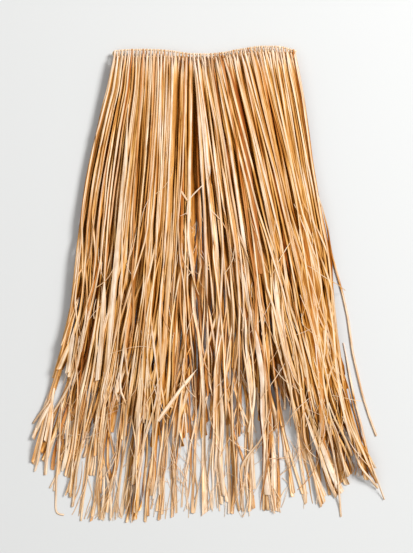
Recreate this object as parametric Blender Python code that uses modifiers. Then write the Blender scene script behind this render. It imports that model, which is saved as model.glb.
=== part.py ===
"""Raffia grass skirt, laid flat on a surface at z = 0.

The waist cord is a closed ring, pressed flat: its front run lies over its back run.
Raffia is looped over both runs in locks, and every lock hangs down to a ragged hem,
so the front curtain of locks lies on the back one. +Y is the waist, -Y the hem and
+Z up. The origin is under the middle of the skirt. Tables are in millimetres.
"""

import math
import random
from collections import namedtuple

import bpy
from mathutils import Vector

MM = 0.001

CORD_DIAMETER = 3.0
GAP = 0.3                     # clearance between pieces that touch
NECK_THICKNESS = 1.2          # raffia where it is pulled tight round the cord
NECK_WIDTH_SHARE = 0.66       # neck width over the lock's pitch on the cord
TAIL_LENGTH = 12.0            # short end of a lock, under the cord
NECK_DEPTHS = (6.0, 14.5)     # rows of the neck, down from the cord
FULL_WIDTH_DEPTH = 24.0       # the neck has opened to the whole pitch this far down
TAIL_CLEARANCE = 0.5          # between a lock's tail and its body
LOCK_GAP = 0.5
BACK_LOCKS = 20
FRONT_LOCKS = 24
BACK_CELLS = 2                # cells across a lock
FRONT_CELLS = 3
BODY_SHARES = (0.10, 0.25, 0.43, 0.61, 0.77, 0.90, 1.0)   # rows below the neck, over the length
RUN_POINTS = 32               # steps along each run of the cord
TURN_POINTS = 5
STRAND_THICKNESS = 1.0
SHARP_ANGLE = math.radians(50)
LEAST_FULLNESS = 0.82         # bulk of the thinnest lock over that of the fullest
EDGE_THINNING = 0.42          # how much thinner a lock is along its sides than in its middle
CORD_REACH = 0.1              # a lock's rows follow the cord's slope over this share of it
SLANT_FROM = 0.9              # and the slant of its end begins here

# The two runs of the waist cord, left to right. The back run sits a little lower.
CordPoint = namedtuple("CordPoint", "x front_y back_y")
CORD_TABLE = (
    CordPoint(x=-155, front_y=389.5, back_y=382.0),
    CordPoint(x=-130, front_y=391.5, back_y=380.5),
    CordPoint(x=-97, front_y=391.5, back_y=380.5),
    CordPoint(x=-64, front_y=389.5, back_y=382.0),
    CordPoint(x=-38, front_y=385.0, back_y=380.5),
    CordPoint(x=-5, front_y=383.0, back_y=380.0),
    CordPoint(x=30, front_y=387.0, back_y=383.0),
    CordPoint(x=60, front_y=393.0, back_y=385.0),
    CordPoint(x=90, front_y=397.0, back_y=388.0),
    CordPoint(x=122, front_y=397.0, back_y=389.0),
    CordPoint(x=143, front_y=389.5, back_y=385.0),
)

# How the raffia fans out: x of seven lanes at heights from the waist to the hem.
LANE_SHARES = (0.0, 0.195, 0.394, 0.532, 0.70, 0.869, 1.0)
FanLevel = namedtuple("FanLevel", "y left lane_2 lane_3 lane_4 lane_5 lane_6 right")
FAN_TABLE = (
    FanLevel(y=390, left=-154, lane_2=-98, lane_3=-38, lane_4=3, lane_5=53, lane_6=103, right=142),
    FanLevel(y=310, left=-171, lane_2=-101, lane_3=-41, lane_4=6, lane_5=66, lane_6=116, right=163),
    FanLevel(y=200, left=-192, lane_2=-107, lane_3=-44, lane_4=12, lane_5=82, lane_6=132, right=177),
    FanLevel(y=60, left=-222, lane_2=-122, lane_3=-48, lane_4=20, lane_5=103, lane_6=154, right=202),
    FanLevel(y=-110, left=-251, lane_2=-147, lane_3=-55, lane_4=25, lane_5=129, lane_6=184, right=222),
    FanLevel(y=-230, left=-279, lane_2=-165, lane_3=-61, lane_4=28, lane_5=147, lane_6=209, right=243),
    FanLevel(y=-310, left=-304, lane_2=-176, lane_3=-67, lane_4=30, lane_5=158, lane_6=230, right=273),
    FanLevel(y=-400, left=-318, lane_2=-188, lane_3=-74, lane_4=34, lane_5=171, lane_6=254, right=324),
)

# Where the locks end.
HemPoint = namedtuple("HemPoint", "share y")
HEM_TABLE = (
    HemPoint(share=0.0, y=-326),
    HemPoint(share=0.05, y=-352),
    HemPoint(share=0.12, y=-398),
    HemPoint(share=0.30, y=-403),
    HemPoint(share=0.50, y=-385),
    HemPoint(share=0.70, y=-378),
    HemPoint(share=0.88, y=-362),
    HemPoint(share=1.0, y=-362),
)
HEM_RAGGED = 22.0             # how far a lock may stop short of the hem line
END_SLANT = 12.0              # how far one corner of an end may stop short of another

# Bulk of the two curtains, by distance below the cord as a share of a lock's length.
Bulk = namedtuple("Bulk", "down back front under_front")
BULK_TABLE = (
    Bulk(down=0.00, back=NECK_THICKNESS, front=NECK_THICKNESS, under_front=11.1),
    Bulk(down=0.03, back=2.5, front=2.8, under_front=6.3),
    Bulk(down=0.08, back=4.2, front=4.8, under_front=5.4),
    Bulk(down=0.20, back=5.2, front=6.4, under_front=5.8),
    Bulk(down=0.40, back=5.4, front=6.8, under_front=6.0),
    Bulk(down=0.65, back=4.8, front=6.2, under_front=5.4),
    Bulk(down=0.85, back=3.6, front=4.6, under_front=4.2),
    Bulk(down=1.00, back=1.6, front=1.8, under_front=2.4),
)
THICKEST = max(row.front for row in BULK_TABLE)

# Width of a lock along its length, as a share of the room it has.
Taper = namedtuple("Taper", "down width")
TAPER_TABLE = (
    Taper(down=0.0, width=1.0),
    Taper(down=0.70, width=1.0),
    Taper(down=0.84, width=0.86),
    Taper(down=0.94, width=0.62),
    Taper(down=1.0, width=0.24),
)

# Loose strands that lie beside the skirt: centre line, width and end.
StrandPoint = namedtuple("StrandPoint", "x y width")
LOOSE_STRANDS = (
    (
        StrandPoint(x=209.5, y=62, width=3.4),
        StrandPoint(x=218.5, y=8, width=4.0),
        StrandPoint(x=233, y=-52, width=4.0),
        StrandPoint(x=242, y=-110, width=4.4),
        StrandPoint(x=257, y=-180, width=4.2),
        StrandPoint(x=270, y=-222, width=3.2),
        StrandPoint(x=281, y=-252, width=1.2),
    ),
    (
        StrandPoint(x=231, y=-112, width=3.0),
        StrandPoint(x=235, y=-150, width=4.2),
        StrandPoint(x=247, y=-200, width=4.4),
        StrandPoint(x=259, y=-244, width=3.6),
        StrandPoint(x=265, y=-277, width=1.4),
    ),
)


def smooth(xs, ys, x):
    """Value at x of a smooth curve through (xs, ys), flat past both ends."""
    if x <= xs[0]:
        return ys[0]
    if x >= xs[-1]:
        return ys[-1]
    slopes = [(b - a) / (q - p) for a, b, p, q in zip(ys, ys[1:], xs, xs[1:])]
    tangents = [slopes[0]]
    for before, after in zip(slopes, slopes[1:]):
        tangents.append(0.0 if before * after <= 0 else 2 * before * after / (before + after))
    tangents.append(slopes[-1])
    i = max(k for k in range(len(xs) - 1) if xs[k] <= x)
    span = xs[i + 1] - xs[i]
    t = (x - xs[i]) / span
    return (
        (2 * t**3 - 3 * t**2 + 1) * ys[i]
        + (t**3 - 2 * t**2 + t) * span * tangents[i]
        + (3 * t**2 - 2 * t**3) * ys[i + 1]
        + (t**3 - t**2) * span * tangents[i + 1]
    )


def column(table, name):
    return [getattr(row, name) for row in table]


def lane_x(share, y):
    """x at height y of the raffia that leaves the cord at this share of its width."""
    levels = FAN_TABLE[::-1]
    heights = column(levels, "y")
    lanes = [smooth(heights, column(levels, name), y) for name in FanLevel._fields[1:]]
    return smooth(LANE_SHARES, lanes, share)


def make_material(name, colour, roughness):
    material = bpy.data.materials.new(name)
    material.use_nodes = True
    shader = material.node_tree.nodes["Principled BSDF"]
    shader.inputs["Base Color"].default_value = (*colour, 1.0)
    shader.inputs["Roughness"].default_value = roughness
    shader.inputs["Metallic"].default_value = 0.0
    return material


def add_object(name, data, collection, material):
    data.materials.append(material)
    obj = bpy.data.objects.new(name, data)
    collection.objects.link(obj)
    return obj


def make_ribbon(name, rows, collection, material):
    """Closed strip: each row is a list of (point, thickness), and the bulk is on the +Z side."""
    across = len(rows[0])
    vertices = [point * MM for row in rows for point, _ in row]
    faces = []
    for r in range(len(rows) - 1):
        for c in range(across - 1):
            corner = r * across + c
            faces.append((corner, corner + across, corner + across + 1, corner + 1))
    mesh = bpy.data.meshes.new(name)
    mesh.from_pydata(vertices, [], faces)
    obj = add_object(name, mesh, collection, material)
    bulk = obj.vertex_groups.new(name="bulk")
    for index, (_, thickness) in enumerate(cell for row in rows for cell in row):
        bulk.add([index], thickness / THICKEST, "REPLACE")
    solidify = obj.modifiers.new("Bulk", "SOLIDIFY")
    solidify.thickness = THICKEST * MM
    solidify.offset = 1.0
    solidify.vertex_group = bulk.name
    mesh.shade_smooth()
    mesh.set_sharp_from_angle(angle=SHARP_ANGLE)
    return obj


def neck_profile(cord_z):
    """(y, z) of a lock's inner side, y from the cord: the tail, then round to the cord's top."""
    radius = CORD_DIAMETER / 2 + GAP
    corner = radius / math.cos(math.radians(30))
    profile = [(-TAIL_LENGTH, cord_z - radius), (0.0, cord_z - radius)]
    for degrees in (-30, 30):
        angle = math.radians(degrees)
        profile.append((corner * math.cos(angle), cord_z + corner * math.sin(angle)))
    profile.append((0.0, cord_z + radius))
    return profile


def body_depths(length):
    """Distances below the cord of a lock's rows, close together at the neck."""
    return [*NECK_DEPTHS, FULL_WIDTH_DEPTH] + [length * share for share in BODY_SHARES]


def make_lock(name, low, high, cells, back, rng, collection, material):
    """One lock, over the share low to high of the cord, on the front or the back run."""
    cord_xs = column(CORD_TABLE, "x")
    cord_ys = column(CORD_TABLE, "back_y" if back else "front_y")
    cord_z = cord_height(back)
    middle = (low + high) / 2
    cord_y = smooth(cord_xs, cord_ys, lane_x(middle, FAN_TABLE[0].y))
    hem_y = smooth(column(HEM_TABLE, "share"), column(HEM_TABLE, "y"), middle)
    length = cord_y - hem_y - rng.uniform(0, HEM_RAGGED)
    fullness = rng.uniform(LEAST_FULLNESS, 1.0)
    corner_lifts = [rng.uniform(0, END_SLANT) for _ in range(cells + 1)]
    corner_lifts[rng.randrange(cells + 1)] = 0.0
    downs = column(BULK_TABLE, "down")

    def row(depth, z, down, width_share, thickness):
        y = cord_y - depth
        left, right = lane_x(low, y), lane_x(high, y)
        middle_x = (left + right) / 2
        half = (right - left - LOCK_GAP) / 2 * width_share
        cut = max(0.0, (down - SLANT_FROM) / (1 - SLANT_FROM))
        follow = max(0.0, 1 - down / CORD_REACH)
        across = []
        for c in range(cells + 1):
            side = 2 * c / cells - 1
            crown = 1.0 - EDGE_THINNING * side**2 if down > 0 else 1.0
            x = middle_x + half * side
            slope = (smooth(cord_xs, cord_ys, x) - cord_y) * follow
            across.append((Vector((x, y + slope + corner_lifts[c] * cut, z)), thickness * crown))
        return across

    rows = [row(-y, z, 0.0, NECK_WIDTH_SHARE, NECK_THICKNESS) for y, z in neck_profile(cord_z)]
    top_z = cord_z + CORD_DIAMETER / 2 + GAP
    tail_top = cord_z - CORD_DIAMETER / 2 - GAP
    for depth in body_depths(length):
        down = depth / length
        opening = min(1.0, depth / FULL_WIDTH_DEPTH)
        width = NECK_WIDTH_SHARE + (1 - NECK_WIDTH_SHARE) * opening**2
        width *= smooth(column(TAPER_TABLE, "down"), column(TAPER_TABLE, "width"), down)
        bulk = smooth(downs, column(BULK_TABLE, "back" if back else "front"), down)
        if depth < FULL_WIDTH_DEPTH:
            z = top_z + (tail_top + TAIL_CLEARANCE - top_z) * depth / NECK_DEPTHS[-1]
        elif back:
            z = 0.0
        else:
            z = smooth(downs, column(BULK_TABLE, "under_front"), down)
        rows.append(row(depth, z, down, width, bulk * fullness))
    return make_ribbon(name, rows, collection, material)


def cord_height(back):
    """z of the cord's centre in its back run, near the surface, or in its front run."""
    radius = CORD_DIAMETER / 2
    back_z = NECK_THICKNESS + GAP + radius
    if back:
        return back_z
    return back_z + 2 * (radius + GAP + NECK_THICKNESS) + GAP


def shares(count, rng):
    """Edges of the locks along the cord, uneven as tied by hand."""
    widths = [rng.uniform(0.8, 1.2) for _ in range(count)]
    edges = [0.0]
    for width in widths:
        edges.append(edges[-1] + width / sum(widths))
    edges[-1] = 1.0
    return edges


def make_curtain(word, count, cells, back, seed, collection, material):
    rng = random.Random(seed)
    edges = shares(count, rng)
    for i in range(count):
        name = f"{word}_lock_{i + 1:02d}"
        make_lock(name, edges[i], edges[i + 1], cells, back, rng, collection, material)


def make_cord(collection, material):
    """The ring: the front run from left to right, a turn down, and the back run home."""
    front_z, back_z = cord_height(False), cord_height(True)
    middle_z, reach = (front_z + back_z) / 2, (front_z - back_z) / 2
    xs = column(CORD_TABLE, "x")
    front_ys, back_ys = column(CORD_TABLE, "front_y"), column(CORD_TABLE, "back_y")

    def run(ys, z):
        places = [xs[0] + (xs[-1] - xs[0]) * k / RUN_POINTS for k in range(RUN_POINTS + 1)]
        return [Vector((x, smooth(xs, ys, x), z)) for x in places]

    def turn(x, side, front_y, back_y):
        points = []
        for k in range(1, TURN_POINTS):
            angle = math.pi * k / TURN_POINTS
            y = front_y + (back_y - front_y) * k / TURN_POINTS
            points.append(Vector((x + side * reach * math.sin(angle), y, middle_z + reach * math.cos(angle))))
        return points

    points = run(front_ys, front_z)
    points += turn(xs[-1], 1, front_ys[-1], back_ys[-1])
    points += run(back_ys, back_z)[::-1]
    points += turn(xs[0], -1, front_ys[0], back_ys[0])[::-1]
    curve = bpy.data.curves.new("waist_cord", "CURVE")
    curve.dimensions = "3D"
    curve.bevel_depth = CORD_DIAMETER / 2 * MM
    curve.bevel_resolution = 2
    spline = curve.splines.new("POLY")
    spline.points.add(len(points) - 1)
    for target, point in zip(spline.points, points):
        target.co = (*(point * MM), 1.0)
    spline.use_cyclic_u = True
    return add_object("waist_cord", curve, collection, material)


def make_loose_strand(name, table, collection, material):
    ys = column(table, "y")[::-1]
    rows = []
    count = 3 * (len(table) - 1)
    for k in range(count + 1):
        y = table[0].y + (table[-1].y - table[0].y) * k / count
        x = smooth(ys, column(table, "x")[::-1], y)
        half = smooth(ys, column(table, "width")[::-1], y) / 2
        rows.append([(Vector((x + side * half, y, 0.0)), STRAND_THICKNESS) for side in (-1, 1)])
    return make_ribbon(name, rows, collection, material)


def main():
    for obj in list(bpy.data.objects):
        bpy.data.objects.remove(obj, do_unlink=True)
    collection = bpy.data.collections.new("grass_skirt")
    bpy.context.scene.collection.children.link(collection)
    cord = make_material("cord_cream", (0.80, 0.68, 0.50), 0.75)
    back = make_material("raffia_back", (0.50, 0.30, 0.13), 0.70)
    front = make_material("raffia_front", (0.66, 0.43, 0.21), 0.62)
    loose = make_material("raffia_loose", (0.72, 0.50, 0.27), 0.62)
    make_cord(collection, cord)
    make_curtain("back", BACK_LOCKS, BACK_CELLS, True, 11, collection, back)
    make_curtain("front", FRONT_LOCKS, FRONT_CELLS, False, 23, collection, front)
    for i, table in enumerate(LOOSE_STRANDS):
        make_loose_strand(f"loose_strand_{i + 1}", table, collection, loose)


main()
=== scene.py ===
"""Looks of the raffia grass skirt, laid flat: every strip of raffia, the twisted waist cord, the
fine fibres that have split off, the floor, the light and the camera.

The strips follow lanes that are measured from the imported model's locks, so they lie where the
locks lie. Each one is laid on top of the ones before it, over a map of the heap's height.
Lengths are in metres, and MM turns the millimetres of the tables into metres.
"""

import math
from collections import namedtuple

import bpy
import numpy as np
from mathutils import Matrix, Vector


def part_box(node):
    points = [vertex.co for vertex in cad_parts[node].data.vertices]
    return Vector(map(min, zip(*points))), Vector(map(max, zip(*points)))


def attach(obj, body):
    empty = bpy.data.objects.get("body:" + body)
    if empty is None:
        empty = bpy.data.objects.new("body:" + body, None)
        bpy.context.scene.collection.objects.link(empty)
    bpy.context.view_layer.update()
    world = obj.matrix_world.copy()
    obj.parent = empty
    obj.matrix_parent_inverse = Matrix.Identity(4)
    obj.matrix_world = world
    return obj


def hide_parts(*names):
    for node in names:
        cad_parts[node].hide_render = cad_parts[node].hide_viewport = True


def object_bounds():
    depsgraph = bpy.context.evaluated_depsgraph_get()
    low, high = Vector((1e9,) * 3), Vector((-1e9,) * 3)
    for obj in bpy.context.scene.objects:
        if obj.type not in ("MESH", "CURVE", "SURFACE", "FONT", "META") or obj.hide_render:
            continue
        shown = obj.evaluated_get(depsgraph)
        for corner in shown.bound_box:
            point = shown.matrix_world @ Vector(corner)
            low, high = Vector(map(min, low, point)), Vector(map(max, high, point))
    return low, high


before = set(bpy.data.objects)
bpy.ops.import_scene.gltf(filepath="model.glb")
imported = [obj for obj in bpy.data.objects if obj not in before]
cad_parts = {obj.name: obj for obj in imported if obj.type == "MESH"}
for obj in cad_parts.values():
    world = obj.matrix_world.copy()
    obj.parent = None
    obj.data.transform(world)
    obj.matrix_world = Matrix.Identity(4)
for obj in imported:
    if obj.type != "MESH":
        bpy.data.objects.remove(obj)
CAD_LOW, CAD_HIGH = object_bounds()

MM = 0.001

# Waist
KNOTS = 51  # loops on each run of the cord
CORD_RADIUS = 1.5 * MM
PLY_RADIUS = 0.85 * MM  # the cord is twisted from two plies
PLY_OFFSET = 0.72 * MM
PLY_TWIST = 7.0 * MM  # length of one full turn,
PLY_POINTS = 12  # with this many points
TURN_REACH = 4.65 * MM  # how far the cord's end turns stand out past the loops
CORD_ROWS = -1.25 * MM, 0, 1.25 * MM  # the rows of the heap's map that the back run fills,
CORD_TOP = 1.6 * MM  # up to this far above its middle
LOBE_OFFSET = 1.05 * MM  # a loop passes over the cord twice, this far off its middle
NECK_WIDTH = 1.7 * MM
NECK_DROP = 5.0 * MM  # a loop's hidden end lies this far down from the cord
NECK_FREE = 2.0 * MM  # a loop leaves the cord from this depth on
NECK_LAID = 32.0 * MM  # and lies on the heap from this depth on
WRAP_DEGREES = -90, -50, -15, 20, 55, 90
KNOT_OVERHANG = 2.6 * MM  # the end loops sit on the cord's turns

# Strips
FRONT_LOBES = (-1, 0, 0, 0, 1)  # -1 and 1 are a loop's two legs, and 0 is a strip tucked between
BACK_LOBES = (-1, 0, 0, 1)
SHEET_THICKNESS = 0.28 * MM
RIM_THINNING = 0.6  # share of the thickness that a strip loses at its two edges
STATION_STEP = 10.0  # millimetres from station to station along a strip,
NEAR_STATIONS = 0, 2, 4.5, 8, 12, 17, 23, 30  # which lie closer by the cord
FREE_STEP = 6.0 * MM
FRONT_WIDTHS, BACK_WIDTHS = (2.0 * MM, 4.0 * MM), (3.0 * MM, 5.8 * MM)
WIDE_WIDTHS = 5.5, 8.5  # millimetres
CURLS, WIDE_CURLS = (1.1, 2.5), (0.5, 1.1)  # half angles in radians
LEAST_CURL = 0.05
CURL_LOW, CURL_HIGH, CURL_WAIST = 0.3, 2.6, 1.25  # least, most, and at the cord
FOLDS, WIDE_FOLDS = (0, 0.12), (0.2, 0.4)  # depth of the pleats in millimetres,
FOLD_WIDTH = 6 * MM  # on a strip of this width
FLATTENED = 0.72  # strips are pressed, not round
STEEP = 0.15  # a station nearer to upright takes its neighbours' side

# How many of the strips
WIDE_PART = 0.045  # are wide
SPLIT_PART = 0.32  # have a split end
TAPER_PART = 0.28  # taper to their end, and the rest open out
TWIST_PART = 0.6  # turn over once
WILD_PART = 0.25  # bend more than the others,
WILDNESS = 2.2  # by this factor
ROAM_PART = 0.2  # roam to other lanes
GOLDEN_PART = 0.12  # are golden, not straw

# Heap
SETTLE_FROM = 11.5 * MM  # above this the heap is pressed together,
SETTLE_TO = 20.0 * MM  # so that none of it stands higher than this
FLOOR_GAP = 0.02 * MM
# Painted shade, carried in the blue of the tone attribute
SHADE_FROM = 0.7 * MM  # strips this far below the heap's crest begin to get painted shade,
SHADE_DEPTH = 4.6 * MM  # and are painted dark a few times this far below it
SHADE_SPREAD = 0.75  # which is this share more from the middle of the skirt down
SIDE_SHADE = 0.60  # a strip's steep sides get painted shade too
WAIST_LIT = 0.8  # and by the cord this share of the painted shade goes

# Flow
PART_SHARE = 0.44  # place of the parting along the cord
PART_WIDTH = 1.4 * MM
LEAN_REACH = 82 * MM  # how far the raffia right of the parting leans over
LEAN_DEPTH = 430 * MM  # by this depth
FOOT_LEAN = 0.13  # slope at which it goes on leaning from there down
KINK_REACH = 26 * MM  # the most that its bends carry a strip to one side
KINK_LENGTH = 6 * MM  # of one bend
CLUMPS = 21
CLUMP_REACH = 6.4 * MM
BOW_TOP = 326 * MM  # the left side's outline is a slight S, from this height
BOW_LENGTH = 500 * MM  # down over this length,
BOW_REACH = 7.5 * MM  # that stands out and comes in by this much
INWARD_REACH = 13 * MM  # the right side's outline comes in by this much above the hem

# Ends, as distances short of the hem line
END_NEAR = 2, 9  # millimetres, mean and deviation, of those that reach the hem
END_PAST = -6  # and the most of them that one may hang past it
END_MIDDLE = 20, 120  # range of those that end a little higher
END_HIGH = 120, 250  # and of those that end in the heap
LEAST_STATIONS = 30  # rows of the heap's map that any strip reaches down

# Where the longest ends lie on the floor, from left to right: x and y in millimetres
HEM_LINE = ((-290, -298), (-236, -313), (-229, -390), (-13, -390), (94, -385), (162, -375),
            (192, -364), (206, -340), (222, -350), (237, -316), (290, -326))

# Fine fibres, in millimetres and degrees
FIBRES = 340
FIBRE_LENGTHS, FIBRE_WIDTHS = (22, 85), (0.5, 1.3)
FRAY_LENGTHS, FRAY_WIDTHS = (20, 50), (0.4, 0.9)
FIBRE_CURL, FIBRE_TONES, FIBRE_STEP = 1.2, (0.4, 0.8), 4.0
FEWEST_POINTS = 4  # that a fibre needs inside the outline

# Single leaves
LEAVES_AT = 0.72  # share of the strips that lie under the tucked leaves
WIDE_LEAF = 5  # a leaf of more millimetres than this has a pleat,
LEAF_PLEAT = 0.3  # millimetres deep

# The map of the heap's height
CELL_X = 1.25 * MM
CELL_Y = 4.0 * MM
FIELD_MARGIN = 30 * MM
CREST_CELLS = 3  # to each side, in which the crest looks for the highest

# Meshes
GRAIN_OFFSET = 1.37  # between one strip's grain and the next one's
SHARP_DEGREES = 55

# The lanes measured from the locks
LANE_SHARES = np.linspace(-0.03, 1.03, 107)
ROW_GAP = 14 * MM  # more than this in y parts two rows of a lock's points
CORD_POINTS = 40  # at which the cord's way is measured

rng = np.random.default_rng(23)


# ---- helpers

def smoothstep(low, high, x):
    """0 at low and 1 at high, which may be the smaller of the two."""
    t = np.clip((x - low) / (high - low), 0.0, 1.0)
    return t * t * (3 - 2 * t)


def blur(values, sigma):
    """Gaussian smoothing along the first axis, with the ends held."""
    reach = int(3 * sigma) + 1
    kernel = np.exp(-0.5 * (np.arange(-reach, reach + 1) / sigma) ** 2)
    kernel /= kernel.sum()
    padded = np.pad(values, [(reach, reach)] + [(0, 0)] * (values.ndim - 1), mode="edge")
    return sum(k * padded[i:i + len(values)] for i, k in enumerate(kernel))


def unit(rows):
    return rows / np.linalg.norm(rows, axis=1, keepdims=True)


def distance(points):
    """How far along the line each of its points lies."""
    return np.concatenate([[0], np.cumsum(np.linalg.norm(np.diff(points, axis=0), axis=1))])


def add_object(name, data):
    obj = bpy.data.objects.new(name, data)
    bpy.context.scene.collection.objects.link(obj)
    return obj


def wander(s, waves, reach):
    """A smooth random curve over s, from 0 to 1, about reach high and with up to these waves."""
    total = np.zeros_like(s)
    for k in range(1, 5):
        frequency = waves * k / 4 * rng.uniform(0.7, 1.3)
        total += np.sin(2 * np.pi * (frequency * s + rng.random())) / math.sqrt(k)
    return reach * total / 1.7


def settle(z):
    """Height once the heap is pressed: low down as laid, and ever closer higher up."""
    room = SETTLE_TO - SETTLE_FROM
    over = np.maximum(z - SETTLE_FROM, 0)
    return np.where(z > SETTLE_FROM, SETTLE_FROM + room * (1 - np.exp(-over / room)), z)


# ---- the frame's lanes

class Run:
    """One run of the cord with its curtain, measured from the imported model."""

    def __init__(self, word, upper):
        self.upper = upper
        self.locks = sorted(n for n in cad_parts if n.startswith(f"{word}_lock_"))
        cord = np.array([v.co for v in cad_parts["waist_cord"].data.vertices])
        middle_z = (cord[:, 2].min() + cord[:, 2].max()) / 2
        own = cord[cord[:, 2] > middle_z] if upper else cord[cord[:, 2] < middle_z]
        low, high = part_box("waist_cord")
        self.cord_z = high.z - CORD_RADIUS if upper else low.z + CORD_RADIUS
        self.left, self.right = low.x + TURN_REACH, high.x - TURN_REACH
        self.cord_xs = np.linspace(self.left, self.right, CORD_POINTS)
        inner = own[(own[:, 0] > self.left) & (own[:, 0] < self.right)]
        order = np.argsort(inner[:, 0])
        ys = np.interp(self.cord_xs, inner[order, 0], blur(inner[order, 1], 12))
        self.cord_ys = blur(ys, 1.0)
        self._measure_lanes()

    def _measure_lanes(self):
        """A table of each lane's x, a row for each height and a column for each share."""
        top, bottom = CAD_HIGH.y + 10 * MM, CAD_LOW.y - FIELD_MARGIN
        self.ys = np.arange(top, bottom, -CELL_Y)
        lanes, waists, hems = [], [], []
        for name in self.locks:
            points = np.array([v.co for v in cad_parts[name].data.vertices])
            points = points[np.argsort(points[:, 1])]
            breaks = np.flatnonzero(np.diff(points[:, 1]) > ROW_GAP) + 1
            rows = [r for r in np.split(points, breaks) if len(r) > 3]
            y = np.array([r[:, 1].mean() for r in rows])
            x = np.array([(r[:, 0].min() + r[:, 0].max()) / 2 for r in rows])
            lane = np.interp(self.ys, y, x)
            below = self.ys < y[0]
            slope = (x[1] - x[0]) / (y[1] - y[0])
            lane[below] = x[0] + slope * (self.ys[below] - y[0])
            lanes.append(blur(lane, 5))
            waists.append(x[-1])
            hems.append(points[:, 1].min())
        shares = (np.array(waists) - self.left) / (self.right - self.left)
        lanes = np.array(lanes).T
        before, after = LANE_SHARES[[0, -1]]
        first = lanes[:, :1] + (before - shares[0]) * (lanes[:, 1:2] - lanes[:, :1]) / (
            shares[1] - shares[0])
        last = lanes[:, -1:] + (after - shares[-1]) * (lanes[:, -1:] - lanes[:, -2:-1]) / (
            shares[-1] - shares[-2])
        known = np.concatenate([[before], shares, [after]])
        lanes = np.concatenate([first, lanes, last], axis=1)
        table = np.array([np.interp(LANE_SHARES, known, row) for row in lanes])
        self.lanes = blur(table.T, 1.5).T
        self.hems = blur(np.interp(LANE_SHARES, shares, hems), 4)

    def lane_x(self, share, y):
        """x at height y of the raffia in the lane of this share of the cord."""
        u = np.clip((share - LANE_SHARES[0]) / (LANE_SHARES[1] - LANE_SHARES[0]), 0,
                    len(LANE_SHARES) - 1.001)
        v = np.clip((self.ys[0] - y) / CELL_Y, 0, len(self.ys) - 1.001)
        i, j = u.astype(int), v.astype(int)
        a, b = u - i, v - j
        top = self.lanes[j, i] * (1 - a) + self.lanes[j, i + 1] * a
        low = self.lanes[j + 1, i] * (1 - a) + self.lanes[j + 1, i + 1] * a
        return top * (1 - b) + low * b

    def cord_y(self, x):
        return np.interp(x, self.cord_xs, self.cord_ys)

    def hem_y(self, share):
        return float(np.interp(share, LANE_SHARES, self.hems))


class HeapField:
    """Height of the heap so far, on a grid over the floor."""

    def __init__(self):
        self.x0 = CAD_LOW.x - FIELD_MARGIN
        self.y0 = CAD_LOW.y - FIELD_MARGIN
        nx = int((CAD_HIGH.x - CAD_LOW.x + 2 * FIELD_MARGIN) / CELL_X) + 1
        ny = int((CAD_HIGH.y - CAD_LOW.y + 2 * FIELD_MARGIN) / CELL_Y) + 1
        self.z = np.zeros((ny, nx))

    def cells(self, x, y):
        i = np.clip(((y - self.y0) / CELL_Y).round().astype(int), 0, self.z.shape[0] - 1)
        j = np.clip(((x - self.x0) / CELL_X).round().astype(int), 0, self.z.shape[1] - 1)
        return i, j

    def at(self, x, y):
        return self.z[self.cells(x, y)]

    def raise_to(self, x, y, z):
        np.maximum.at(self.z, self.cells(x, y), z)

    def crest(self):
        """A map of the highest parts around each place, softened."""
        crest = HeapField()
        near = [np.roll(self.z, k, axis=1) for k in range(-CREST_CELLS, CREST_CELLS + 1)]
        crest.z = blur(blur(np.max(near, axis=0), 1.5).T, 1.5).T
        return crest


# ---- strip geometry

def section(width, curl, roll, pleat, count=5):
    """Offsets across and up, (stations, 2 * count), of a strip curled by its half angle.

    width is the strip's breadth as it lies, so a strip that curls into a tube is wider flat.
    The first half of the points is the strip's outer side, and the second half comes back
    along its inner side."""
    j = np.linspace(-1, 1, count)
    radius = (width / (2 * np.sin(np.clip(curl, LEAST_CURL, np.pi / 2))))[:, None]
    curl = np.maximum(curl, LEAST_CURL)[:, None]
    zigzag = pleat * np.cos(np.pi * np.arange(count))
    normal_a, normal_b = np.sin(curl * j), np.cos(curl * j)
    rim = 1 - RIM_THINNING * np.abs(j) ** 6

    def side(offset):
        r = radius + offset + zigzag * (width[:, None] / FOLD_WIDTH)
        a = r * normal_a
        b = r * normal_b - radius * (1 + np.cos(curl)) / 2
        return a, b * FLATTENED

    outer_a, outer_b = side(SHEET_THICKNESS / 2 * rim)
    inner_a, inner_b = side(-SHEET_THICKNESS / 2 * rim)
    a = np.concatenate([outer_a, inner_a[:, ::-1]], axis=1)
    b = np.concatenate([outer_b, inner_b[:, ::-1]], axis=1)
    cos, sin = np.cos(roll)[:, None], np.sin(roll)[:, None]
    return a * cos - b * sin, a * sin + b * cos


Laid = namedtuple("Laid", "ring centre along tone warmth breadth area turned laid_z")


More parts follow.
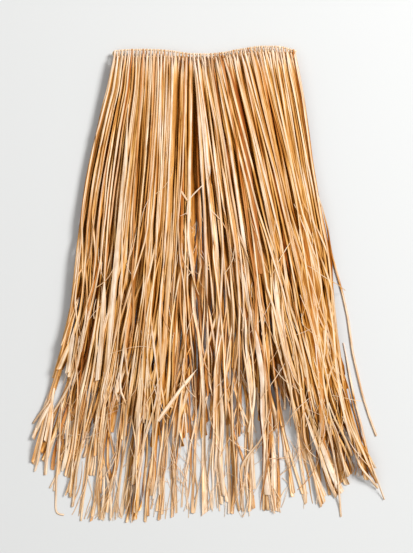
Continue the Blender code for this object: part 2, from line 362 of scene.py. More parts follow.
class StripMesh:
    """Collects strips into one mesh, with their grain and bake maps and their tones and painted
    shade.
    """

    def __init__(self, name):
        self.name = name
        self.strips = []

    def add(self, centre, width, curl, roll, pleat, tone, warmth, slant, count):
        """centre is (stations, 3). tone and warmth are one value for each station, and slant
        is how far the cut end runs on for each metre across it."""
        tangent = unit(np.gradient(centre, axis=0))
        side = np.cross(tangent, (0.0, 0.0, 1.0))
        flat = np.linalg.norm(side, axis=1)
        keep = flat > STEEP
        side = unit(np.stack([np.interp(np.arange(len(flat)), np.flatnonzero(keep), side[keep, k])
                              for k in range(3)], axis=1))
        side = unit(side - tangent * (side * tangent).sum(1, keepdims=True))
        up = np.cross(side, tangent)
        a, b = section(width, curl, roll, pleat, count)
        # how far each point turns from facing up, which sets the painted shade on a strip's steep
        # sides
        angle = np.maximum(curl, LEAST_CURL)[:, None] * np.linspace(-1, 1, count) - roll[:, None]
        turned = np.sin(np.concatenate([angle, angle[:, ::-1]], axis=1)) ** 2
        ring = centre[:, None] + side[:, None] * a[..., None] + up[:, None] * b[..., None]
        ring[-1] += tangent[-1] * (a[-1] * slant)[:, None]
        laid_z = ring[..., 2].copy()
        ring[..., 2] = settle(laid_z)
        centre = np.stack([centre[:, 0], centre[:, 1], settle(centre[:, 2])], axis=1)
        along = distance(centre)
        middle = [(k[:, :count] + k[:, count:][:, ::-1]) / 2 for k in (a, b)]
        flat = np.hypot(np.diff(middle[0]), np.diff(middle[1])).sum(axis=1)
        area = float(((flat[1:] + flat[:-1]) / 2 * np.diff(along)).sum())
        self.strips.append(Laid(ring, centre, along, tone, warmth, float(flat.max()), area, turned,
                                laid_z))

    def cut(self):
        """Flat breadth of all the strips side by side, the longest one's length, and the area."""
        return (sum(s.breadth for s in self.strips), max(s.along[-1] for s in self.strips),
                sum(s.area for s in self.strips))

    def build(self, crest):
        """crest is the map of the heap's highest parts, by which deeper ones get painted shade."""
        points, tones, quads, tris = [], [], [], []
        grain, bake, tri_grain, tri_bake = [], [], [], []
        start, base = 0, 0.0
        breadth, longest, _ = self.cut()
        for index, strip in enumerate(self.strips):
            centre, along = strip.centre, strip.along
            stations, around = strip.ring.shape[:2]
            points.append(strip.ring.reshape(-1, 3))
            beyond = np.array([centre[0] * 2 - centre[1], centre[-1] * 2 - centre[-2]])
            points.append(centre[[0, -1]] * 0.9 + beyond * 0.1)
            value = self._tones(strip, crest)
            tones += [value.reshape(-1, 4), value[[0, -1], 0]]

            k = np.arange(stations - 1)[:, None] * around
            j = np.arange(around)[None]
            nxt = (j + 1) % around
            quad = np.stack([k + j, k + nxt, k + around + nxt, k + around + j], axis=-1)
            quads.append(quad.reshape(-1, 4) + start)
            shape = quad.shape
            cross = np.arange(around // 2) / (around // 2 - 1)
            cross = np.concatenate([cross, cross[::-1]])
            u = np.broadcast_to(cross[np.stack([j, nxt, nxt, j], axis=-1)], shape)
            v = along[np.stack([k, k, k + around, k + around], axis=-1) // around]
            v = np.broadcast_to(v, shape)
            offset = index * GRAIN_OFFSET
            grain.append(np.stack([u, v + offset], axis=-1).reshape(-1, 2))
            # the bake map has a row for each strip, with a margin all round it
            height = strip.breadth / breadth
            edges = base + 0.04 * height + 0.92 * height / around * np.arange(around + 1)
            bake_v = np.broadcast_to(edges[np.stack([j, j + 1, j + 1, j], axis=-1)], shape)
            bake.append(np.stack([0.01 + 0.98 * v / longest, bake_v], axis=-1).reshape(-1, 2))

            for end, row, flip in ((0, 0, True), (1, stations - 1, False)):
                rim = start + row * around + np.stack([j[0], nxt[0]])
                tip = np.full((1, around), start + stations * around + end)
                tris.append(np.concatenate([rim[::-1] if flip else rim, tip]).T)
                place = np.full(around, 0.01 + 0.98 * along[row] / longest)
                past = place + (-0.003 if flip else 0.003)
                pair = (edges[1:], edges[:-1]) if flip else (edges[:-1], edges[1:])
                tri_bake.append(corner_rows((place, pair[0]), (place, pair[1]),
                                            (past, (pair[0] + pair[1]) / 2)))
                across, after = cross, np.roll(cross, -1)
                both = (after, across) if flip else (across, after)
                level = np.full(around, along[row] + offset)
                tri_grain.append(corner_rows((both[0], level), (both[1], level),
                                             ((across + after) / 2, level)))
            base += height
            start += stations * around + 2
        mesh = self._mesh(np.concatenate(points), np.concatenate(quads), np.concatenate(tris))
        for name, parts in (("grain", grain + tri_grain), ("OFBake", bake + tri_bake)):
            layer = mesh.uv_layers.new(name=name)
            layer.uv.foreach_set("vector", np.concatenate(parts).astype(np.float32).ravel())
        # the tone attribute holds tone, warmth and painted shade in its red, green and blue
        attribute = mesh.attributes.new("tone", "FLOAT_COLOR", "POINT")
        attribute.data.foreach_set("color", np.concatenate(tones).astype(np.float32).ravel())
        mesh.update(calc_edges=True)
        mesh.validate()
        mesh.uv_layers["grain"].active_render = True
        mesh.shade_smooth()
        mesh.set_sharp_from_angle(angle=math.radians(SHARP_DEGREES))
        return add_object(self.name, mesh)

    @staticmethod
    def _tones(strip, crest):
        """Tone, warmth and painted shade of each point, as a colour. The painted shade is darker
        deep below the heap's crest and on a strip's steep sides.
        """
        ring = strip.ring
        # painted shade: darker the deeper a point lies below the heap's crest, and on steep sides
        below = crest.at(ring[..., 0], ring[..., 1]) - strip.laid_z
        spread = 1 + SHADE_SPREAD * smoothstep(260 * MM, -20 * MM, ring[..., 1])
        shade = 1 - np.exp(-np.maximum(below - SHADE_FROM, 0) / (SHADE_DEPTH * spread))
        shade = np.clip(shade + SIDE_SHADE * strip.turned, 0, 1)
        shade *= 1 - WAIST_LIT * smoothstep(50 * MM, 0, strip.along)[:, None]
        value = np.ones((*ring.shape[:2], 4))
        value[..., 0] = np.clip(strip.tone, 0, 1)[:, None]
        value[..., 1] = np.clip(strip.warmth, 0, 1)[:, None]
        value[..., 2] = shade
        return value

    def _mesh(self, points, quads, tris):
        mesh = bpy.data.meshes.new(self.name)
        corners = np.concatenate([quads.ravel(), tris.ravel()]).astype(np.int32)
        sizes = np.concatenate([np.full(len(quads), 4), np.full(len(tris), 3)])
        mesh.vertices.add(len(points))
        mesh.vertices.foreach_set("co", points.astype(np.float32).ravel())
        mesh.loops.add(len(corners))
        mesh.loops.foreach_set("vertex_index", corners)
        mesh.polygons.add(len(sizes))
        starts = np.concatenate([[0], np.cumsum(sizes)[:-1]]).astype(np.int32)
        mesh.polygons.foreach_set("loop_start", starts)
        return mesh


def corner_rows(*corners):
    """The (u, v) rows of triangles whose first, second and third corners are given as arrays."""
    return np.stack([np.stack(corner, 1) for corner in corners], 1).reshape(-1, 2)


# ---- laying the strips

def neck_wrap(run, x, cord_y):
    """A loop's way under, behind and over the cord, as (x, y, z) rows."""
    radius = CORD_RADIUS + SHEET_THICKNESS
    rows = [(x, cord_y - NECK_DROP, run.cord_z - radius - 0.1 * MM)]
    for degrees in WRAP_DEGREES:
        angle = math.radians(degrees)
        rows.append((x, cord_y + radius * math.cos(angle), run.cord_z + radius * math.sin(angle)))
    return np.array(rows)


def rest(field, x, y, outline, neck=None):
    """Height of a strip's middle as it lies on the heap, which it then adds to."""
    a, b = outline
    dx, dy = np.gradient(x), np.gradient(y)
    step = np.hypot(dx, dy)
    px = x[:, None] + (dy / step)[:, None] * a
    py = y[:, None] - (dx / step)[:, None] * a
    floor = -b.min(axis=1) + FLOOR_GAP
    need = np.maximum((field.at(px, py) - b).max(axis=1), floor)
    near = np.stack([np.roll(need, k) for k in (-2, -1, 0, 1, 2)])
    near[:, :2] = need[:2]
    near[:, -2:] = need[-2:]
    z = np.maximum(blur(near.max(axis=0), 2.2), floor)
    if neck is not None:
        height, held = neck
        z = z + np.maximum(height - z, 0) * held
    field.raise_to(px, py, z[:, None] + b)
    return z


class Strip:
    """One strip's choices: where it starts and ends and how it curls, turns and narrows."""

    def __init__(self, run, knot, lobe, place, top):
        """place, from -0.5 to 0.5, is the strip's place within its loop. top is 0 for the first
        strips laid on a run and 1 for the last."""
        self.run = run
        pitch = (run.right - run.left + 2 * KNOT_OVERHANG) / KNOTS
        knot_x = run.left - KNOT_OVERHANG + (knot + 0.5) * pitch + rng.normal(0, 0.3 * MM)
        self.lobe = lobe
        self.waist_x = knot_x + lobe * LOBE_OFFSET
        self.share = (knot_x - run.left) / (run.right - run.left)
        self.share += (place + rng.normal(0, 0.15)) * pitch / (run.right - run.left)
        spread = 0.008
        if run.upper:
            spread = 0.05 if rng.random() < ROAM_PART else 0.014
        self.hem_share = np.clip(self.share + rng.normal(0, spread), 0, 1)
        self.cord_y = float(run.cord_y(self.waist_x))
        self.shortfall = end_shortfall(run.upper, top)
        self.wide = rng.random() < WIDE_PART
        if self.wide:
            self.width = rng.uniform(*WIDE_WIDTHS) * MM
            self.curl0 = rng.uniform(*WIDE_CURLS)
        else:
            self.width = rng.uniform(*(FRONT_WIDTHS if run.upper else BACK_WIDTHS))
            self.curl0 = rng.uniform(*CURLS)
        self.lean = LEAN_REACH * lean_share(self.share)
        self.lean *= (0.45 * top + rng.uniform(0, 0.55)) if run.upper else 0.0
        self.foot_lean = FOOT_LEAN * foot_share(self.share) * rng.uniform(0.4, 1.3)
        self.wild = WILDNESS if rng.random() < WILD_PART else 1.0
        self.split = rng.random() < SPLIT_PART
        # tone differs at random from strip to strip; besides, as painted light, the strips laid
        # last, which lie on top of the heap, get a paler tone
        if rng.random() < GOLDEN_PART:
            self.tone = max(rng.normal(0.26, 0.08), 0.17)
        else:
            self.tone = np.clip(rng.normal(0.60 + 0.11 * top, 0.16), 0.22, 0.86)
        self.warmth = rng.random()

    def path(self, depth, length):
        """x at each depth below the cord, on the way to the hem at length."""
        run, s, y = self.run, depth / length, self.cord_y - depth
        share = self.share + (self.hem_share - self.share) * s ** rng.uniform(0.9, 1.8)
        x = run.lane_x(share, y) + clump(share, y, 350 * MM if run.upper else 60 * MM)
        x += wander(s, rng.uniform(1.0, 2.5), 1.6 * MM) * smoothstep(0.02, 0.5, s)
        x += wander(s, 9.0, 1.1 * MM) * (0.4 * smoothstep(0.02, 0.3, s) + smoothstep(0.5, 0.95, s))
        x += kinks(depth, length, self.wild)
        x += (self.waist_x - float(x[0])) * (1 - smoothstep(0, 45 * MM, depth))
        down = np.clip(depth / LEAN_DEPTH, 0, 1)
        x += self.lean * (1 - (1 - down) ** 1.4)
        x += self.foot_lean * np.maximum(depth - LEAN_DEPTH, 0)
        if run.upper:
            x += part(share, y)
        for side, limit in ((-1, run.lane_x(0.0, y)), (1, run.lane_x(1.0, y))):
            past = np.maximum(side * (x - limit), 0)
            x -= side * past * (1 - 0.25 * np.exp(-past / (8 * MM)))
        return x + side_bow(share, y)

    def lay(self, field, target):
        longest = self.cord_y - self.run.hem_y(self.hem_share) + 3 * MM
        depth = np.arange(0.0, longest + CELL_Y / 2, CELL_Y)
        x, y = self.path(depth, longest), self.cord_y - depth
        past_end = y < hem_line(x / MM) * MM + self.shortfall
        if past_end.any():
            kept = max(int(np.argmax(past_end)), LEAST_STATIONS)
            depth, x, y = depth[:kept], x[:kept], y[:kept]
        length = depth[-1]
        s = depth / length

        opening = smoothstep(7 * MM, rng.uniform(22, 44) * MM, depth)
        breadth = 1 + wander(s, 8.0, 0.15)
        if rng.random() < TAPER_PART:
            taper_from = 1 - rng.uniform(25, 110) * MM / length
            ending = 1 - 0.75 * np.clip((s - taper_from) / (1 - taper_from), 0, 1) ** 1.3
        else:
            ending = 1 + rng.uniform(0.2, 1.0) * smoothstep(1 - 130 * MM / length, 1, s)
        width = (NECK_WIDTH + (self.width * breadth - NECK_WIDTH) * opening) * ending
        curl = self.curl0 + wander(s, 7.0, 0.35) - 0.7 * smoothstep(0.6, 1.0, s)
        curl = np.clip(curl, CURL_LOW, CURL_HIGH) - CURL_WAIST
        curl = CURL_WAIST + curl * smoothstep(0, 50 * MM, depth)
        roll = wander(s, 6.0, 0.4) * smoothstep(0, 60 * MM, depth)
        if rng.random() < TWIST_PART:
            middle = rng.uniform(0.15, 0.98)
            half = rng.uniform(15, 40) * MM / length
            roll = roll + rng.choice((-1, 1)) * np.pi * smoothstep(middle - half, middle + half, s)
        pleat = rng.choice((-1, 1)) * rng.uniform(*(WIDE_FOLDS if self.wide else FOLDS)) * MM

        neck_z = self.run.cord_z + CORD_RADIUS + 0.5 * SHEET_THICKNESS
        held = 1 - smoothstep(NECK_FREE, NECK_LAID, depth)
        neck = (neck_z, held) if self.lobe else None
        z = rest(field, x, y, section(width, curl, roll, pleat), neck)

        tone = self.tone + wander(s, 3.0, 0.05)
        warmth = self.warmth * 0.6 + 0.4 * smoothstep(0.45, 1.0, s) + wander(s, 2.0, 0.08)
        wrap = neck_wrap(self.run, self.waist_x, self.cord_y) if self.lobe else None
        cut = length - rng.uniform(35, 95) * MM if self.split else length
        count = 7 if self.wide else 5
        slant = rng.uniform(-0.7, 0.7)
        rows = (width, curl, roll, tone, warmth)
        first = 0 if self.lobe else rng.uniform(6, 12) * MM
        self.emit(target, depth, (x, y, z), rows, first, cut, pleat, slant, count, wrap)
        if self.split:
            open_by = np.maximum(depth - cut, 0) * rng.uniform(0.04, 0.12)
            for side in (-1, 1):
                aside = x + side * (0.26 * width + open_by)
                rows = (width * 0.52, curl, roll, tone, warmth)
                self.emit(target, depth, (aside, y, z), rows, cut - 2 * MM,
                          length - rng.uniform(0, 12) * MM, pleat, slant, 4)

    def emit(self, target, depth, way, rows, first, last, pleat, slant, count, wrap=None):
        """Adds the strip from one depth to another, behind the cord first if it is a loop."""
        stations = np.concatenate([NEAR_STATIONS, np.arange(38, 1000, STATION_STEP)]) * MM
        stations = stations[(stations > first + 1 * MM) & (stations < last - 3 * MM)]
        stations = np.concatenate([[first], stations, [last]])
        centre = np.stack([np.interp(stations, depth, w) for w in way], axis=1)
        rows = [np.interp(stations, depth, r) for r in rows]
        if wrap is not None:
            behind = len(wrap) - 1
            centre = np.concatenate([wrap[:-1], centre])
            centre[behind] = wrap[-1]
            rows = [np.concatenate([np.full(behind, r[0]), r]) for r in rows]
        width, curl, roll, tone, warmth = rows
        target.add(centre, width, curl, roll, pleat, tone, warmth, slant, count)


def hem_line(x):
    """y in millimetres of the longest ends at x in millimetres."""
    return np.interp(x, *np.transpose(HEM_LINE))


def end_shortfall(upper, top):
    """How far short of the hem line a strip ends. More of the strips laid last reach it."""
    if rng.random() < (0.18 + 0.44 * top if upper else 0.15):
        return max(rng.normal(*END_NEAR), END_PAST) * MM
    if rng.random() < 0.05 + 0.16 * top:
        return rng.uniform(*END_MIDDLE) * MM
    return rng.uniform(*END_HIGH) * MM


def kinks(depth, length, wild):
    """Sideways way of a strip that bends a little at a few places, more of them low down."""
    x = np.zeros_like(depth)
    lean = 0.0
    for _ in range(rng.integers(4, 9)):
        place = length * rng.uniform(0.2, 0.98) ** 0.7
        strength = (1.0 + 12.0 * (place / length) ** 2.4) * wild
        turn = math.radians(rng.normal(0, strength)) - 0.5 * lean
        lean += turn
        ramp = depth - place
        bend = np.sqrt(ramp ** 2 + KINK_LENGTH ** 2) / 2 + ramp / 2
        x += math.tan(turn) * np.where(ramp > 0, bend, 0)
    return KINK_REACH * np.tanh(x / KINK_REACH)


def clump(share, y, top):
    """Sideways way of the strips into bunches, from the height top and tighter towards the hem."""
    tight = smoothstep(top, -250 * MM, y) * (0.62 + 0.38 * np.sin(share * 33 + 1.1))
    tight += 0.7 * smoothstep(-180 * MM, -350 * MM, y)
    phase = 2 * np.pi * CLUMPS * share + 1.7 * np.sin(share * 19 + 0.6)
    return -CLUMP_REACH * tight * np.sin(phase)


def lean_share(share):
    """How much of the lean to the right a strip has, by its place on the cord."""
    return min(1.0, max(0.0, (1 - share) / 0.42)) ** 0.8 if share > PART_SHARE else 0.0


def foot_share(share):
    """How much of the lean's lower stretch a strip has."""
    return float(smoothstep(0.48, 0.68, share)) * min(1.0, max(0.0, (1 - share) / 0.25))


def part(share, y):
    """The parting below the waist, from which the raffia leans away to both sides."""
    side = np.where(share < PART_SHARE, -1.0, 1.0)
    near = np.exp(-np.abs(share - PART_SHARE) / 0.02)
    down = smoothstep(375 * MM, 320 * MM, y) * smoothstep(20 * MM, 120 * MM, y)
    return side * near * down * PART_WIDTH


def side_bow(share, y):
    """The left side stands out a little above its middle, and comes in a little below it. The
    right side comes in above the hem."""
    down = np.clip((BOW_TOP - y) / BOW_LENGTH, 0, 1)
    left = BOW_REACH * np.sin(2 * np.pi * down) * smoothstep(0.3, 0.0, share)
    low = smoothstep(40 * MM, -150 * MM, y) * smoothstep(-290 * MM, -215 * MM, y)
    return -left - INWARD_REACH * low * smoothstep(0.7, 1.0, share)


def lay_curtain(run, lobes, field, targets, leaves=(), leaf_target=None):
    """Lays all of a run's strips in a mixed order. targets share them by x. The leaves come
    when most of the strips are down."""
    places = (np.arange(len(lobes)) + 0.5) / len(lobes) - 0.5
    jobs = [(knot, lobe, place) for knot in range(KNOTS) for lobe, place in zip(lobes, places)]
    order = rng.permutation(len(jobs))
    for rank, index in enumerate(order):
        if rank == int(LEAVES_AT * len(jobs)):
            for leaf in leaves:
                lay_leaf(leaf_target, field, leaf)
        knot, lobe, place = jobs[index]
        strip = Strip(run, knot, lobe, place, rank / len(jobs))
        strip.lay(field, targets[knot * len(targets) // KNOTS])


def lay_free(target, field, points, width, curl, tone, warmth, count, foot, slant=0.0):
    """A strand on top of the heap that follows points, (x, y) in millimetres.

    foot is its breadth where it begins, as a part of width: a low one slides out of the heap."""
    points = np.array(points, dtype=float) * MM
    along = distance(points)
    depth = np.linspace(0, along[-1], max(5, int(along[-1] / FREE_STEP) + 1))
    way = np.stack([np.interp(depth, along, points[:, k]) for k in (0, 1)], axis=1)
    way = blur(way, 1.0)
    way[[0, -1]] = points[[0, -1]]
    x, y = way.T
    s = depth / depth[-1]
    breadth = width * MM * (foot + (1 - foot) * smoothstep(0, 0.25, s)) * (1 + wander(s, 2, 0.08))
    bend = np.full_like(s, curl) + wander(s, 2, 0.15)
    roll = wander(s, 1.5, 0.25)
    pleat = (LEAF_PLEAT if width > WIDE_LEAF else 0.0) * MM
    z = rest(field, x, y, section(breadth, bend, roll, pleat, count))
    tones = np.full_like(s, tone) + wander(s, 2, 0.05)
    target.add(np.stack([x, y, z], axis=1), breadth, bend, roll, pleat, tones,
               np.full_like(s, warmth), slant, count)


# ---- strands by themselves

# In millimetres and radians. tone runs from dark to light, slant is the cut end's, and foot is
# the breadth at the first point, as a share of width
Leaf = namedtuple("Leaf", "width curl tone slant foot points")

LEAVES = (
    # a short broken strand with its fork, just above the middle
    Leaf(1.9, 1.3, 0.72, 0.2, 0.7, ((-9, 166), (-22, 153), (-33, 142), (-35, 118))),
    Leaf(3.0, 0.8, 0.40, 0.5, 0.8, ((-44, 156), (-40, 149), (-34, 141))),
    # wide leaves
    Leaf(7.0, 0.6, 0.66, 0.3, 0.1, ((-171, 20), (-173, -50), (-178, -110), (-183, -157))),
    Leaf(6.5, 0.6, 0.72, 0.6, 0.1, ((-222, -70), (-226, -100), (-233, -144))),
    Leaf(5.5, 0.7, 0.74, 0.4, 0.1, ((-18, -138), (-45, -172), (-83, -224))),
    # ends that spread at the lower left
    Leaf(3.4, 1.2, 0.42, 0.3, 0.4, ((-262, -186), (-272, -204), (-282, -216), (-292, -230))),
    Leaf(6.5, 0.6, 0.60, 0.9, 0.3, ((-262, -196), (-272, -215), (-283, -234), (-289, -246))),
    Leaf(3.6, 0.9, 0.62, 0.4, 0.3, ((-264, -200), (-273, -240), (-283, -288), (-289, -310))),
    Leaf(5.0, 0.8, 0.66, 0.2, 0.3, ((-258, -200), (-263, -250), (-269, -290), (-272, -316))),
    Leaf(3.2, 1.0, 0.60, 0.2, 0.3, ((-248, -250), (-252, -315), (-264, -338))),
    Leaf(4.2, 0.8, 0.56, 0.1, 0.3, ((-246, -240), (-250, -300), (-257, -343))),
    Leaf(2.6, 1.2, 0.68, 0.0, 0.6, ((-243, -190), (-248, -270), (-253, -320), (-255, -378),
                                    (-252, -383), (-241, -383))),
    # ends that spread at the lower right
    Leaf(3.6, 1.0, 0.66, 0.3, 0.3, ((214, -170), (232, -240), (252, -300), (283, -338))),
    Leaf(3.0, 1.2, 0.60, 0.2, 0.3, ((186, -190), (204, -260), (216, -320), (222, -386))),
    Leaf(2.4, 1.2, 0.64, 0.2, 0.5, ((228, -150), (252, -240), (272, -300), (294, -357))),
    Leaf(5.5, 0.8, 0.60, 0.6, 0.3, ((160, -210), (186, -280), (203, -330), (214, -352))),
)

# wide leaves that the last strips lie over
TUCKED = (
    Leaf(9.0, 0.7, 0.08, 0.1, 0.2, ((24, 381), (32, 365), (41, 335), (52, 285), (60, 240),
                                    (66, 190), (76, 120), (88, 20))),
    Leaf(8.5, 0.7, 0.60, -0.5, 0.1, ((-132, 300), (-136, 210), (-144, 110), (-155, 0),
                                     (-166, -120), (-178, -250), (-182, -345))),
    Leaf(7.0, 0.7, 0.66, 0.4, 0.1, ((60, -30), (66, -110), (74, -190), (70, -245), (76, -340))),
    Leaf(7.5, 0.7, 0.40, 0.2, 0.1, ((-60, 120), (-64, 30), (-70, -60), (-76, -150), (-88, -250),
                                    (-92, -350))),
    Leaf(8.0, 0.7, 0.26, 0.2, 0.1, ((120, 250), (140, 180), (158, 100), (168, 20), (176, -60),
                                    (186, -160), (190, -250))),
    Leaf(6.5, 0.8, 0.62, 0.5, 0.1, ((-110, -120), (-114, -200), (-118, -270), (-124, -330))),
    Leaf(6.5, 0.8, 0.58, -0.4, 0.1, ((20, -150), (24, -220), (20, -290), (26, -350))),
)

# loose strands past the right side
STRAYS = (
    Leaf(3.3, 2.0, 0.62, 0.2, 0.4, ((178, 160), (190, 124), (200, 86), (206, 52), (215, 20),
                                    (224, -12), (233, -52), (241, -110), (257, -180),
                                    (270, -222), (281, -251))),
    Leaf(3.1, 2.0, 0.66, 0.2, 0.6, ((226, -96), (231, -120), (236, -150), (244, -190),
                                    (256, -235), (264, -277))),
)

# Places where the raffia is frayed: middle and spread in millimetres, and number of fibres
Fray = namedtuple("Fray", "x y spread number")
FRAYS = (
    Fray(-18, 105, 8, 9),
    Fray(-17, 50, 7, 9),
    Fray(118, -288, 22, 16),
    Fray(-65, -300, 20, 9),
    Fray(-230, -230, 14, 8),
)


def lay_leaf(target, field, leaf):
    lay_free(target, field, leaf.points, leaf.width, leaf.curl, leaf.tone, rng.uniform(0.2, 0.7),
             7, leaf.foot, leaf.slant)


def curl_points(x, y, heading, length, bend):
    """A fibre's way from (x, y) in millimetres that bends steadily, in degrees per millimetre."""
    points = []
    for _ in range(max(4, int(length / FIBRE_STEP))):
        points.append((x, y))
        x += FIBRE_STEP * math.cos(math.radians(heading))
        y += FIBRE_STEP * math.sin(math.radians(heading))
        heading += bend * FIBRE_STEP + rng.normal(0, 4)
    return points


def lay_fibre(target, field, points, widths):
    if len(points) >= FEWEST_POINTS:
        lay_free(target, field, points, rng.uniform(*widths), FIBRE_CURL,
                 rng.uniform(*FIBRE_TONES), rng.random(), 3, 0.5)


def lay_fibres(target, field, run):
    """Fine fibres that have split off, most of them in the lower half, then the frayed places."""
    for _ in range(FIBRES):
        share = rng.uniform(0.03, 0.97)
        y = 300 - 670 * rng.beta(3.4, 1.25)
        x = float(run.lane_x(share, y * MM)) / MM
        heading = rng.normal(-90 + 20 * (share - 0.45), 13 if rng.random() < 0.82 else 42)
        length = rng.uniform(*FIBRE_LENGTHS)
        points = curl_points(x, y, heading, length, rng.normal(0, 0.35))
        lay_fibre(target, field, [p for p in points if CAD_LOW.x < p[0] * MM < CAD_HIGH.x
                                  and p[1] > hem_line(p[0])], FIBRE_WIDTHS)
    for fray in FRAYS:
        for _ in range(fray.number):
            x, y = fray.x + rng.normal(0, fray.spread), fray.y + rng.normal(0, fray.spread * 1.6)
            points = curl_points(x, y, rng.uniform(-150, -30), rng.uniform(*FRAY_LENGTHS),
                                 rng.normal(0, 1.6))
            lay_fibre(target, field, [p for p in points if p[1] > hem_line(p[0])], FRAY_WIDTHS)


# ---- the cord

def make_cord(front, back):
    """Two plies twisted round the ring's centre line."""
    middle_z, reach = (front.cord_z + back.cord_z) / 2, (front.cord_z - back.cord_z) / 2
    xs = np.linspace(front.left, front.right, 220)
    half_turn = np.linspace(0, np.pi, 16)[1:-1]

    def straight(run):
        return np.stack([xs, run.cord_y(xs), np.full_like(xs, run.cord_z)], 1)

    def end_turn(x, side):
        y = front.cord_y(x) + (back.cord_y(x) - front.cord_y(x)) * half_turn / np.pi
        return np.stack([x + side * reach * np.sin(half_turn), y,
                         middle_z + reach * np.cos(half_turn)], 1)

    closed = np.concatenate([straight(front), end_turn(front.right, 1), straight(back)[::-1],
                             end_turn(front.left, -1)[::-1], straight(front)[:1]])
    along = distance(closed)
    turns = round(along[-1] / PLY_TWIST)
    count = turns * PLY_POINTS
    wanted = np.linspace(0, along[-1], count, endpoint=False)
    centre = np.stack([np.interp(wanted, along, closed[:, k]) for k in range(3)], 1)
    tangent = unit(np.roll(centre, -1, 0) - np.roll(centre, 1, 0))
    out = unit(np.cross(tangent, (0, 1, 0)))
    across = np.cross(out, tangent)
    angle = 2 * np.pi * turns * np.arange(count) / count
    curve = bpy.data.curves.new("twisted_cord", "CURVE")
    curve.dimensions = "3D"
    curve.bevel_depth = PLY_RADIUS
    curve.bevel_resolution = 3
    for ply in (0, np.pi):
        a = angle + ply
        points = centre + PLY_OFFSET * (out * np.cos(a)[:, None] + across * np.sin(a)[:, None])
        spline = curve.splines.new("POLY")
        spline.points.add(count - 1)
        flat = np.concatenate([points, np.ones((count, 1))], 1)
        spline.points.foreach_set("co", flat.ravel())
        spline.use_cyclic_u = True
    return add_object("twisted_cord", curve)


# ---- materials

def srgb(*values):
    linear = [((v / 255 + 0.055) / 1.055) ** 2.4 if v > 10 else v / 255 / 12.92 for v in values]
    return (*linear, 1.0)


class Nodes:
    """Shorthand for a material's nodes and links."""

    def __init__(self, name):
        self.material = bpy.data.materials.new(name)
        self.material.use_nodes = True
        self.tree = self.material.node_tree
        self.shader = self.tree.nodes["Principled BSDF"]

    def feed(self, node, **inputs):
        """Sets inputs to values or links them to sockets. A name's _ stands for a space."""
        for key, value in inputs.items():
            name = key.replace("_", " ")
            target = next(i for i in node.inputs if i.name == name and i.enabled)
            if isinstance(value, bpy.types.NodeSocket):
                self.tree.links.new(value, target)
            else:
                target.default_value = value

    def add(self, kind, **options):
        """A new node. The options with a capital letter are its inputs, as in feed."""
        node = self.tree.nodes.new(kind)
        for key, value in options.items():
            if key[0].islower():
                setattr(node, key, value)
        self.feed(node, **{k: v for k, v in options.items() if k[0].isupper()})
        return node

    def noise(self, place, scale, detail, roughness=0.5):
        """Noise over a UV map that is stretched by scale, (across, along)."""
        stretch = self.add("ShaderNodeMapping", Vector=place, Scale=(*scale, 1.0))
        noise = self.add("ShaderNodeTexNoise", noise_dimensions="2D", Scale=1.0, Detail=detail,
                         Roughness=roughness, Vector=stretch.outputs["Vector"])
        return noise.outputs["Fac"]

    def ramp(self, source, stops):
        node = self.add("ShaderNodeValToRGB", Fac=source)
        while len(node.color_ramp.elements) < len(stops):
            node.color_ramp.elements.new(0.5)
        for element, (place, colour) in zip(node.color_ramp.elements, stops):
            element.position = place
            element.color = colour if len(colour) == 4 else (*colour, 1.0)
        return node.outputs["Color"]

    def mix(self, kind, factor, first, second):
        node = self.add("ShaderNodeMix", data_type="RGBA", blend_type=kind, Factor=factor,
                        A=first, B=second)
        return next(o for o in node.outputs if o.enabled)

    def remap(self, source, at_zero, at_one):
        node = self.add("ShaderNodeMapRange", Value=source, To_Min=at_zero, To_Max=at_one)
        return node.outputs["Result"]

    def bump(self, source, strength):
        node = self.add("ShaderNodeBump", Strength=strength, Distance=BUMP_DEPTH, Height=source)
        return node.outputs["Normal"]


BUMP_DEPTH = 0.4 * MM
KHAKI_SHARE = 0.95  # of the strips' warmth that turns them from straw to khaki

# Colours from dark to light
STRAW = (
    (0.00, srgb(178, 108, 44)),
    (0.25, srgb(218, 160, 96)),
    (0.50, srgb(237, 214, 196)),
    (0.75, srgb(243, 225, 213)),
    (1.00, srgb(247, 234, 226)),
)
KHAKI = (
    (0.00, srgb(160, 112, 50)),
    (0.35, srgb(225, 198, 160)),
    (0.70, srgb(239, 220, 194)),
    (1.00, srgb(248, 232, 208)),
)
CORD_FIBRE = (
    (0.25, srgb(196, 156, 108)),
    (0.50, srgb(232, 204, 160)),
    (0.75, srgb(248, 230, 196)),
)

# Factors on the colour over noise, and last the painted shade's tints over the painted shade
BANDS = (0.34, (0.70, 0.52, 0.34)), (0.48, (0.99, 0.98, 0.97)), (0.62, (1.08, 1.08, 1.08))
STREAKS = (0.30, (0.62, 0.52, 0.42)), (0.46, (0.94, 0.92, 0.90)), (0.70, (1.10, 1.10, 1.08))
BLOTCHES = (0.32, (0.72, 0.62, 0.50)), (0.52, (1.0, 1.0, 1.0)), (0.75, (1.06, 1.05, 1.02))
# painted shade: tints that darken the strips towards brown where the tone attribute's painted
# shade is high
PAINTED_SHADE_TINTS = ((0.00, (1.0, 1.0, 1.0)), (0.25, (1.00, 0.90, 0.72)), (0.55, (0.88, 0.56, 0.18)),
        (1.00, (0.36, 0.13, 0.005)))


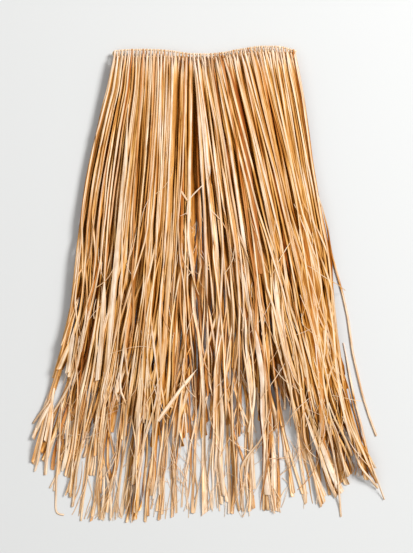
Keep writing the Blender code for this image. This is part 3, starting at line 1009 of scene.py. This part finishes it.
def raffia_material():
    """Dry palm strip: straw to golden brown, with a fine grain along it. It glosses in the light,
    and painted shade deep in the heap darkens it towards brown and turns its gloss down."""
    m = Nodes("raffia")
    # the tone attribute holds tone, warmth and painted shade
    tone = m.add("ShaderNodeAttribute", attribute_name="tone")
    parts = m.add("ShaderNodeSeparateColor", Color=tone.outputs["Color"])
    tone, warmth, painted_shade = (parts.outputs[name] for name in ("Red", "Green", "Blue"))
    shift = m.add("ShaderNodeMath", operation="MULTIPLY", use_clamp=True, Value=warmth)
    shift.inputs[1].default_value = KHAKI_SHARE
    colour = m.mix("MIX", shift.outputs["Value"], m.ramp(tone, STRAW), m.ramp(tone, KHAKI))

    grain = m.add("ShaderNodeUVMap", uv_map="grain").outputs["UV"]
    streaks = m.noise(grain, (9.0, 14.0), 4.0, 0.6)
    blotches = m.noise(grain, (1.3, 48.0), 3.0)
    bands = m.noise(grain, (2.8, 8.0), 2.0)
    for factor, source, stops in ((0.85, bands, BANDS), (0.75, streaks, STREAKS),
                                  (0.6, blotches, BLOTCHES), (1.0, painted_shade, PAINTED_SHADE_TINTS)):
        colour = m.mix("MULTIPLY", factor, colour, m.ramp(source, stops))
    # the painted shade also turns the specular down, as painted shade on the gloss
    m.feed(m.shader, Base_Color=colour, Roughness=m.remap(streaks, 0.42, 0.66),
           Normal=m.bump(streaks, 0.35), Specular_IOR_Level=m.remap(painted_shade, 0.35, 0.03))
    return m.material


def cord_material():
    m = Nodes("cord_fibre")
    place = m.add("ShaderNodeTexCoord").outputs["Object"]
    fibre = m.add("ShaderNodeTexNoise", Scale=900.0, Detail=4.0, Roughness=0.7, Vector=place)
    fibre = fibre.outputs["Fac"]
    m.feed(m.shader, Base_Color=m.ramp(fibre, CORD_FIBRE), Normal=m.bump(fibre, 0.5),
           Roughness=0.78, Sheen_Weight=0.15)
    return m.material


def floor_material():
    m = Nodes("pale_floor")
    m.feed(m.shader, Base_Color=srgb(212, 214, 214), Roughness=0.85)
    return m.material


# ---- stage

VIEW_CENTRE = Vector((-2.5 * MM, 15 * MM, 0.0))
VIEW_HEIGHT = 0.9235  # metres of floor that the picture covers, top to bottom
LENS, SENSOR = 65.0, 36.0  # millimetres
FLOOR_SIZE = 8.0
FLOOR_DROP = 0.3 * MM

Lamp = namedtuple("Lamp", "name place size power colour")
LAMPS = (
    Lamp("key", (3.4, 2.2, 3.1), 1.7, 338, (1.0, 0.99, 0.985)),
    Lamp("fill", (-1.2, -1.0, 2.6), 2.4, 14, (1.0, 0.98, 0.97)),
)
ROOM_COLOUR, ROOM_STRENGTH = (1.0, 0.98, 0.96, 1.0), 0.4


def make_stage():
    bpy.ops.mesh.primitive_plane_add(size=FLOOR_SIZE, location=(0, 0, -FLOOR_DROP))
    floor = bpy.context.object
    floor.name = "floor"
    floor.data.materials.append(floor_material())

    data = bpy.data.cameras.new("camera")
    data.lens = LENS
    data.sensor_width = SENSOR
    camera = add_object("camera", data)
    camera.location = VIEW_CENTRE + Vector((0, 0, VIEW_HEIGHT * LENS / SENSOR))
    bpy.context.scene.camera = camera

    for name, place, size, power, colour in LAMPS:
        lamp = bpy.data.lights.new(name, "AREA")
        lamp.shape = "DISK"
        lamp.size = size
        lamp.energy = power
        lamp.color = colour
        obj = add_object(name, lamp)
        obj.location = place
        obj.rotation_euler = (-Vector(place)).to_track_quat("-Z", "Y").to_euler()

    world = bpy.data.worlds.new("studio")
    world.use_nodes = True
    inputs = world.node_tree.nodes["Background"].inputs
    inputs["Color"].default_value = ROOM_COLOUR
    inputs["Strength"].default_value = ROOM_STRENGTH
    bpy.context.scene.world = world
    bpy.context.scene.view_settings.view_transform = "Standard"


# ---- the object

front, back = Run("front", True), Run("back", False)
field = HeapField()
cord_xs = np.linspace(back.left, back.right, 400)
for row in CORD_ROWS:
    field.raise_to(cord_xs, back.cord_y(cord_xs) + row,
                   np.full_like(cord_xs, back.cord_z + CORD_TOP))

back_targets = [StripMesh(f"back_curtain_{side}") for side in ("left", "right")]
front_targets = [StripMesh(f"front_curtain_{side}") for side in ("left", "middle", "right")]
leaf_target, fibre_target, stray_target = (
    StripMesh(name) for name in ("spread_leaves", "split_fibres", "stray_strands"))
lay_curtain(back, BACK_LOBES, field, back_targets)
lay_curtain(front, FRONT_LOBES, field, front_targets, TUCKED, leaf_target)
for table, target in ((LEAVES, leaf_target), (STRAYS, stray_target)):
    for leaf in table:
        lay_leaf(target, field, leaf)
lay_fibres(fibre_target, field, front)

cord = make_cord(front, back)
cord.data.materials.append(cord_material())
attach(cord, "root")
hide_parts("waist_cord")

raffia = raffia_material()
crest = field.crest()


def place_strips(target, slot, *replaced):
    piece = target.build(crest)
    piece.data.materials.append(raffia)
    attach(piece, "root")
    if replaced:
        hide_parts(*replaced)
    breadth, length, area = target.cut()


for run, targets, slot in ((back, back_targets, "raffia_back"),
                           (front, front_targets, "raffia_front")):
    for index, target in enumerate(targets):
        locks = [n for i, n in enumerate(run.locks) if i * len(targets) // len(run.locks) == index]
        place_strips(target, slot, *locks)
place_strips(leaf_target, "raffia_front")
place_strips(fibre_target, "raffia_front")
place_strips(stray_target, "raffia_loose", "loose_strand_1", "loose_strand_2")

make_stage()
